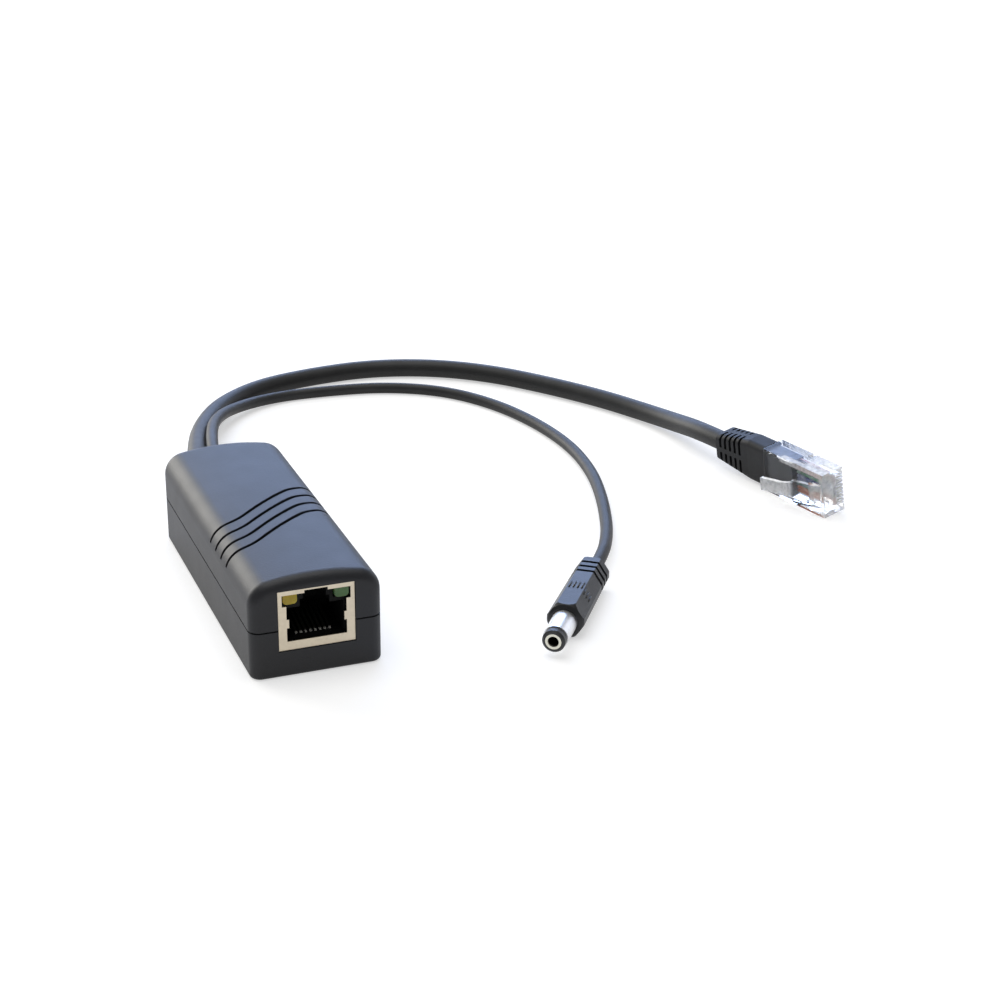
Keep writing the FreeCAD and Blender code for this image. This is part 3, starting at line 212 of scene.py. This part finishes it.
def clear_plastic(name):
    """Clear moulding, frosted white where it is thick, at its nose and latch, and painted white along its
    upper edge as a painted highlight, all in patches of scuffs.
    """
    material, tree, shader = new_material(name)
    x, y, z = in_frame(tree, MODULAR_PLACE, MODULAR_TURN)
    nose = ramp(tree, x, *NOSE_X)
    near_edge_highlight = product(tree, ramp(tree, x, *NEAR_EDGE_X), ramp(tree, y, *NEAR_EDGE_Y))
    upper = larger(tree, near_edge_highlight, ramp(tree, x, *FRONT_LEDGE_X, FRONT_LEDGE_SHARE))
    # Painted highlight along the upper edge.
    edge_highlight = product(tree, ramp(tree, z, *LEDGE_Z), upper)
    latch_ends = larger(tree, ramp(tree, x, *LATCH_TAIL_X), ramp(tree, x, *LATCH_ROOT_X))
    latch = product(tree, ramp(tree, y, *LATCH_Y), latch_ends)
    milky_and_highlight = larger(tree, larger(tree, nose, edge_highlight), latch)
    patchy_milky_and_highlight = product(tree, milky_and_highlight, patchy(tree, SCUFF_GRAIN, SCUFF_LEAST, 1.0, SCUFF_NOISE))
    put(tree, shader, "Base Color", blend(tree, patchy_milky_and_highlight, CLEAR_TINT, MILKY_AND_HIGHLIGHT_TINT))
    put(tree, shader, "IOR", CLEAR_IOR)
    put(tree, shader, "Transmission Weight", spread(tree, patchy_milky_and_highlight, 0.0, 1.0, CLEAR_PASSES, MILKY_AND_HIGHLIGHT_PASSES))
    put(tree, shader, "Coat Weight", 0.15)
    put(tree, shader, "Coat Roughness", 0.08)
    put(tree, shader, "Roughness", patchy(tree, CLEAR_GRAIN, *CLEAR_ROUGH))
    put(tree, shader, "Normal", bump(tree, noise(tree, WAVE_GRAIN), WAVE_DEPTH))
    return material


# Metal with painted shade goes from bright to painted dark over this length, in metres.
FADE_LONG = 0.0003
NEAR_METALLIC, FAR_METALLIC = 0.7, 0.4
WORN_GRAIN, WORN_LEAST = 1500.0, 0.85


def metal_painted_shade_beyond(name, near, far, axis, edge, place=(0.0, 0.0, 0.0), turn=(0.0, 0.0, 0.0), rough=0.35):
    """Metal that is bright up to a place along an axis and painted dark beyond it, as painted shade deep
    inside a hollow.
    """
    material, tree, shader = new_material(name)
    beyond = spread(tree, in_frame(tree, place, turn)[axis], edge, edge + FADE_LONG)
    put(tree, shader, "Base Color", blend(tree, beyond, near, far))
    put(tree, shader, "Metallic", spread(tree, beyond, 0.0, 1.0, NEAR_METALLIC, FAR_METALLIC))
    put(tree, shader, "Roughness", product(tree, patchy(tree, WORN_GRAIN, WORN_LEAST, 1.0), rough))
    return material


LAMP_PATCHES, LAMP_GRAIN, LAMP_ROUGH = 500.0, 900.0, (0.25, 0.4)


def lamp_plastic(name, dark, light):
    """Tinted plastic of a lamp, which lets some light in."""
    material, tree, shader = new_material(name)
    put(tree, shader, "Base Color", blend(tree, patchy(tree, LAMP_PATCHES, 0.0, 1.0), dark, light))
    put(tree, shader, "Subsurface Weight", 0.3)
    put(tree, shader, "Subsurface Scale", 0.001)
    put(tree, shader, "Roughness", patchy(tree, LAMP_GRAIN, *LAMP_ROUGH))
    return material


# One finish for each material slot of the record. A core's two tones stand for its stripes.
CORE_MOTTLE = 350
FINISH = {
    "case_plastic": plastic(
        "case_black", (0.011, 0.011, 0.013), (0.014, 0.015, 0.019), 0.48, mottle=70, gloss=0.42),
    "cord_jacket": plastic("cord_black", (0.018, 0.018, 0.018), (0.024, 0.024, 0.024), 0.50, gloss=0.38),
    "grip_plastic": plastic("grip_black", (0.007, 0.007, 0.008), (0.011, 0.012, 0.014), 0.40, gloss=0.42),
    "shield_metal": metal("shield_nickel", (0.66, 0.58, 0.45), 0.35),
    "insulator_plastic": plastic(
        "insulator_black", (0.004, 0.004, 0.004), (0.006, 0.006, 0.006), 0.6, gloss=0.15),
    "contact_gold": metal("contact_gold", (0.95, 0.88, 0.68), 0.45),
    "lamp_yellow": lamp_plastic("lamp_yellow", (0.46, 0.33, 0.01), (0.62, 0.47, 0.03)),
    "lamp_green": lamp_plastic("lamp_green", (0.05, 0.13, 0.03), (0.11, 0.22, 0.07)),
    "board_green": plastic("board_green", (0.01, 0.08, 0.03), (0.02, 0.12, 0.05), 0.35),
    "chip_black": plastic("chip_black", (0.01, 0.01, 0.01), (0.02, 0.02, 0.02), 0.5),
    "can_aluminium": metal("can_aluminium", (0.75, 0.75, 0.78), 0.35),
    "ferrite": plastic("ferrite_grey", (0.03, 0.03, 0.03), (0.05, 0.05, 0.05), 0.6),
    "bobbin_plastic": plastic("bobbin_brown", (0.03, 0.02, 0.015), (0.05, 0.035, 0.02), 0.5),
    "winding_tape": plastic("winding_tape", (0.6, 0.42, 0.03), (0.75, 0.55, 0.06), 0.3),
    "wire_copper": metal("wire_copper", (0.8, 0.42, 0.25), 0.3),
    "wire_red": plastic("wire_red", (0.45, 0.01, 0.01), (0.6, 0.02, 0.02), 0.35),
    "wire_black": plastic("wire_black", (0.01, 0.01, 0.01), (0.02, 0.02, 0.02), 0.35),
    "clamp_nylon": plastic("clamp_nylon", (0.6, 0.6, 0.56), (0.72, 0.72, 0.68), 0.45),
    "plug_clear": clear_plastic("plug_clear"),
    "core_orange": plastic("core_orange", (0.65, 0.16, 0.03), (0.85, 0.42, 0.26), 0.35, mottle=CORE_MOTTLE),
    "core_green": plastic("core_green", (0.06, 0.22, 0.10), (0.46, 0.58, 0.50), 0.35, mottle=CORE_MOTTLE),
    "core_blue": plastic("core_blue", (0.07, 0.10, 0.24), (0.50, 0.52, 0.62), 0.35, mottle=CORE_MOTTLE),
    "core_brown": plastic("core_brown", (0.30, 0.07, 0.04), (0.60, 0.36, 0.30), 0.35, mottle=CORE_MOTTLE),
    "barrel_nickel": metal("barrel_nickel", (0.90, 0.90, 0.91), 0.34),
}

# Nodes whose looks differ from those of their slot. The contacts are painted near white at their front ends
# as a painted highlight, and painted dark behind them as painted shade deep in the socket. The sleeve is
# painted dark beyond the plug's tip as painted shade inside the barrel.
CONTACT_PAINTED_SHADE_FROM_Y, SLEEVE_PAINTED_SHADE_FROM_X = -0.0363, 0.0004
SPECIAL = {
    "jack_contacts": metal_painted_shade_beyond(
        "jack_contact", (1.0, 0.98, 0.90), (0.01, 0.009, 0.007), "Y", CONTACT_PAINTED_SHADE_FROM_Y, rough=0.6),
    "dc_inner_sleeve": metal_painted_shade_beyond(
        "sleeve_brass", (0.80, 0.78, 0.66), (0.03, 0.028, 0.022), "X", SLEEVE_PAINTED_SHADE_FROM_X,
        ROUND_PLACE, ROUND_TURN),
    "plug_boot": plastic("boot_black", (0.008, 0.008, 0.009), (0.012, 0.013, 0.015), 0.52, gloss=0.26),
    "dc_tip_insulator": plastic("tip_grey", (0.016, 0.016, 0.017), (0.026, 0.026, 0.028), 0.4),
}

for part in frame["record"]["subparts"]:
    node = bpy.data.objects[part["node"]]
    node.data.materials.clear()
    node.data.materials.append(SPECIAL.get(part["node"], FINISH[part["material_slot"]]))


# Cords

# The routes, in millimetres, from the cords' ends inside the housing to their plugs.
DATA_ROUTE = [
    (-2.6, 33.0, 10.8), (-2.6, 53.0, 10.8), (1.8, 73.0, 7.6), (7.6, 94.0, 4.1), (16.5, 112.5, 2.55),
    (30.0, 124.0, 2.5), (47.0, 128.6, 2.5), (65.0, 129.8, 2.5), (82.0, 124.5, 2.5), (96.0, 114.0, 2.5),
    (107.5, 99.5, 2.5), (117.5, 84.0, 2.5), (123.8, 70.5, 2.6), (127.2, 57.0, 3.8), (127.593, 43.558, 6.296),
    (130.026, 33.344, 6.296),
]
POWER_ROUTE = [
    (1.6, 33.0, 10.8), (1.6, 53.0, 10.8), (5.5, 73.0, 10.1), (11.0, 93.0, 6.6), (19.6, 109.5, 3.0),
    (33.5, 118.3, 1.5), (49.0, 118.3, 1.5), (65.0, 116.0, 1.5), (79.5, 107.5, 1.5), (89.0, 93.0, 1.5),
    (94.5, 75.0, 1.5), (96.5, 56.0, 1.5), (94.6, 38.0, 1.5), (90.2, 21.5, 1.5), (84.6, 5.9, 1.6),
    (79.9, -4.4, 2.7), (74.889, -13.841, 3.92), (68.644, -22.281, 3.92),
]


def cord(name, node, points, diameter):
    """A free cord as one smooth spline over the route's points."""
    data = bpy.data.curves.new(name, "CURVE")
    data.dimensions = "3D"
    data.bevel_depth = diameter / 2
    data.bevel_resolution = 8
    data.resolution_u = 16
    data.use_fill_caps = True
    spline = data.splines.new("NURBS")
    spline.points.add(len(points) - 1)
    for point, place in zip(spline.points, points):
        point.co = (*(value / MM_PER_M for value in place), 1)
    spline.order_u = 3
    spline.use_endpoint_u = True
    piece = bpy.data.objects.new(name, data)
    bpy.context.collection.objects.link(piece)
    data.materials.append(FINISH["cord_jacket"])
    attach(piece, "root")
    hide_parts(node)


cord("data_cord", "ethernet_cord", DATA_ROUTE, 0.005)
cord("power_cord", "dc_cord", POWER_ROUTE, 0.003)


# Raised ribs on the round plug's grip

# The grip in its own frame, in millimetres: its start, length and taper, and the corners of its section.
GRIP_START, GRIP_LONG, GRIP_TAPER = 9.9, 26.1, 0.93
TOP_HEIGHT, TOP_HALF = 3.9, 2.0
SIDE_REACH, SIDE_HALF = 4.1, 0.75
TOP_FACET = ((TOP_HALF, TOP_HEIGHT), (-TOP_HALF, TOP_HEIGHT))
SLANT_FACET = ((-TOP_HALF, TOP_HEIGHT), (-SIDE_REACH, SIDE_HALF))

# The ribs, in millimetres, with each row's place along the grip and the shares of its facet's width where
# ribs stand.
RIB_LONG, RIB_WIDE, RIB_TALL, RIB_ROUND = 3.0, 0.42, 0.36, 0.12
TOP_ROW_AT, TOP_ROW = 20.6, (0.14, 0.38, 0.62, 0.86)
SLANT_ROW_AT, SLANT_ROW = 18.8, (0.16, 0.42, 0.68)


def facet_place(along, share, corner_a, corner_b):
    """A point on a facet between two corners of the grip's section, and the facet's lean about its axis."""
    scale = 1 - (1 - GRIP_TAPER) * (along - GRIP_START) / GRIP_LONG
    y, z = (scale * (a + share * (b - a)) for a, b in zip(corner_a, corner_b))
    lean = math.atan2(corner_b[1] - corner_a[1], corner_b[0] - corner_a[0])
    return Vector((along, y, z)), lean


def grip_ribs():
    """Short raised ribs along the grip, in a row round its top."""
    places = [facet_place(TOP_ROW_AT, share, *TOP_FACET) for share in TOP_ROW]
    places += [facet_place(SLANT_ROW_AT, share, *SLANT_FACET) for share in SLANT_ROW]
    mesh = bmesh.new()
    for place, lean in places:
        turn = Matrix.Rotation(lean, 4, "X")
        sized = Matrix.Diagonal((RIB_LONG, RIB_WIDE, RIB_TALL, 1))
        bmesh.ops.create_cube(mesh, size=1, matrix=Matrix.Translation(place) @ turn @ sized)
    bmesh.ops.bevel(mesh, geom=mesh.edges[:], offset=RIB_ROUND, segments=3, affect="EDGES")
    bmesh.ops.scale(mesh, vec=[1 / MM_PER_M] * 3, verts=mesh.verts)
    pose = Matrix.Translation(ROUND_PLACE) @ Matrix.Rotation(ROUND_TURN[2], 4, "Z")
    bmesh.ops.transform(mesh, matrix=pose, verts=mesh.verts)
    data = bpy.data.meshes.new("grip_ribs")
    mesh.to_mesh(data)
    mesh.free()
    data.shade_smooth()
    data.materials.append(FINISH["grip_plastic"])
    piece = bpy.data.objects.new("grip_ribs", data)
    bpy.context.collection.objects.link(piece)
    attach(piece, "root")


grip_ribs()


# Floor and surroundings

FLOOR_SIZE = 6

# The floor's own glow, near the object and far from it in metres, and as bright pieces mirror it.
GLOW_DISTANCE, NEAR_GLOW, FAR_GLOW = (0.35, 1.5), 0.52, 1.0
MIRRORED_GLOW = 0.42

# What the surroundings light the object with. The camera and clear pieces see them at full strength.
SKY_LIGHT, SKY_SEEN = 0.3, 1.0


def floor_material():
    """Pale floor that the camera and clear pieces see as white, with the object's shadow kept on it."""
    material, tree, shader = new_material("floor_white")
    put(tree, shader, "Base Color", (0.62, 0.62, 0.62, 1))
    put(tree, shader, "Roughness", 0.9)
    put(tree, shader, "Specular IOR Level", 0.1)
    path = add(tree, "ShaderNodeLightPath").outputs
    seen = larger(tree, path["Is Camera Ray"], path["Is Transmission Ray"])
    point = add(tree, "ShaderNodeTexCoord").outputs["Object"]
    distance = add(tree, "ShaderNodeVectorMath", {"operation": "LENGTH"}, Vector=point).outputs["Value"]
    direct = product(tree, seen, spread(tree, distance, *GLOW_DISTANCE, NEAR_GLOW, FAR_GLOW))
    mirrored = product(tree, path["Is Glossy Ray"], MIRRORED_GLOW)
    put(tree, shader, "Emission Color", (1, 1, 1, 1))
    put(tree, shader, "Emission Strength", larger(tree, direct, mirrored))
    return material


bpy.ops.mesh.primitive_plane_add(size=FLOOR_SIZE)
floor = bpy.context.object
floor.name = "floor"
floor.data.materials.append(floor_material())

world = bpy.data.worlds.new("studio")
bpy.context.scene.world = world
world.use_nodes = True
sky = world.node_tree.nodes["Background"]
rays = add(world.node_tree, "ShaderNodeLightPath").outputs
plain = larger(world.node_tree, rays["Is Camera Ray"], rays["Is Transmission Ray"])
put(world.node_tree, sky, "Color", (1, 1, 1, 1))
put(world.node_tree, sky, "Strength", spread(world.node_tree, plain, 0.0, 1.0, SKY_LIGHT, SKY_SEEN))


# Lights

HOUSING = (0.0, 0.0, 0.0)
BESIDE_HOUSING = (0.05, 0.0, 0.0)
WHITE, WARM_WHITE, PALE_BLUE, BLUE = (1, 1, 1), (1.0, 0.98, 0.93), (0.82, 0.87, 1.0), (0.45, 0.61, 1.0)


def softbox(name, place, aim, size, power, colour):
    """A rectangular soft light that looks at a point."""
    data = bpy.data.lights.new(name, "AREA")
    data.shape = "RECTANGLE"
    data.size, data.size_y = size
    data.energy = power
    data.color = colour
    box = bpy.data.objects.new(name, data)
    bpy.context.collection.objects.link(box)
    box.location = place
    box.rotation_euler = (Vector(aim) - Vector(place)).to_track_quat("-Z", "Y").to_euler()


softbox("top_light", (0.0, 0.1, 1.0), BESIDE_HOUSING, size=(0.9, 0.9), power=5.5, colour=WHITE)
softbox("back_light", (0.42, 1.2, 0.58), HOUSING, size=(1.1, 0.6), power=10.9, colour=BLUE)
softbox("left_light", (-0.56, 1.2, 0.46), HOUSING, size=(0.8, 0.86), power=13, colour=WARM_WHITE)
softbox("right_light", (1.2, 0.55, 0.26), BESIDE_HOUSING, size=(0.9, 0.5), power=1.8, colour=PALE_BLUE)


# Camera

CAMERA_PLACE = (-0.10219, -0.40515, 0.19742)
YAW, PITCH, ROLL = math.radians(21.463), math.radians(22.727), math.radians(0.569)

ahead = Vector((math.sin(YAW) * math.cos(PITCH), math.cos(YAW) * math.cos(PITCH), -math.sin(PITCH)))
right = Vector((math.cos(YAW), -math.sin(YAW), 0))
up = right.cross(ahead)
turned_right = right * math.cos(ROLL) + up * math.sin(ROLL)
turned_up = up * math.cos(ROLL) - right * math.sin(ROLL)
camera_data = bpy.data.cameras.new("camera")
camera_data.lens = 74.5
camera_data.shift_x = -0.0085
camera_data.shift_y = -0.0036
camera_data.clip_start = 0.01
camera = bpy.data.objects.new("camera", camera_data)
bpy.context.collection.objects.link(camera)
axes = Matrix((turned_right, turned_up, -ahead)).transposed().to_4x4()
camera.matrix_world = Matrix.Translation(CAMERA_PLACE) @ axes
bpy.context.scene.camera = camera

bpy.context.scene.view_settings.view_transform = "Standard"
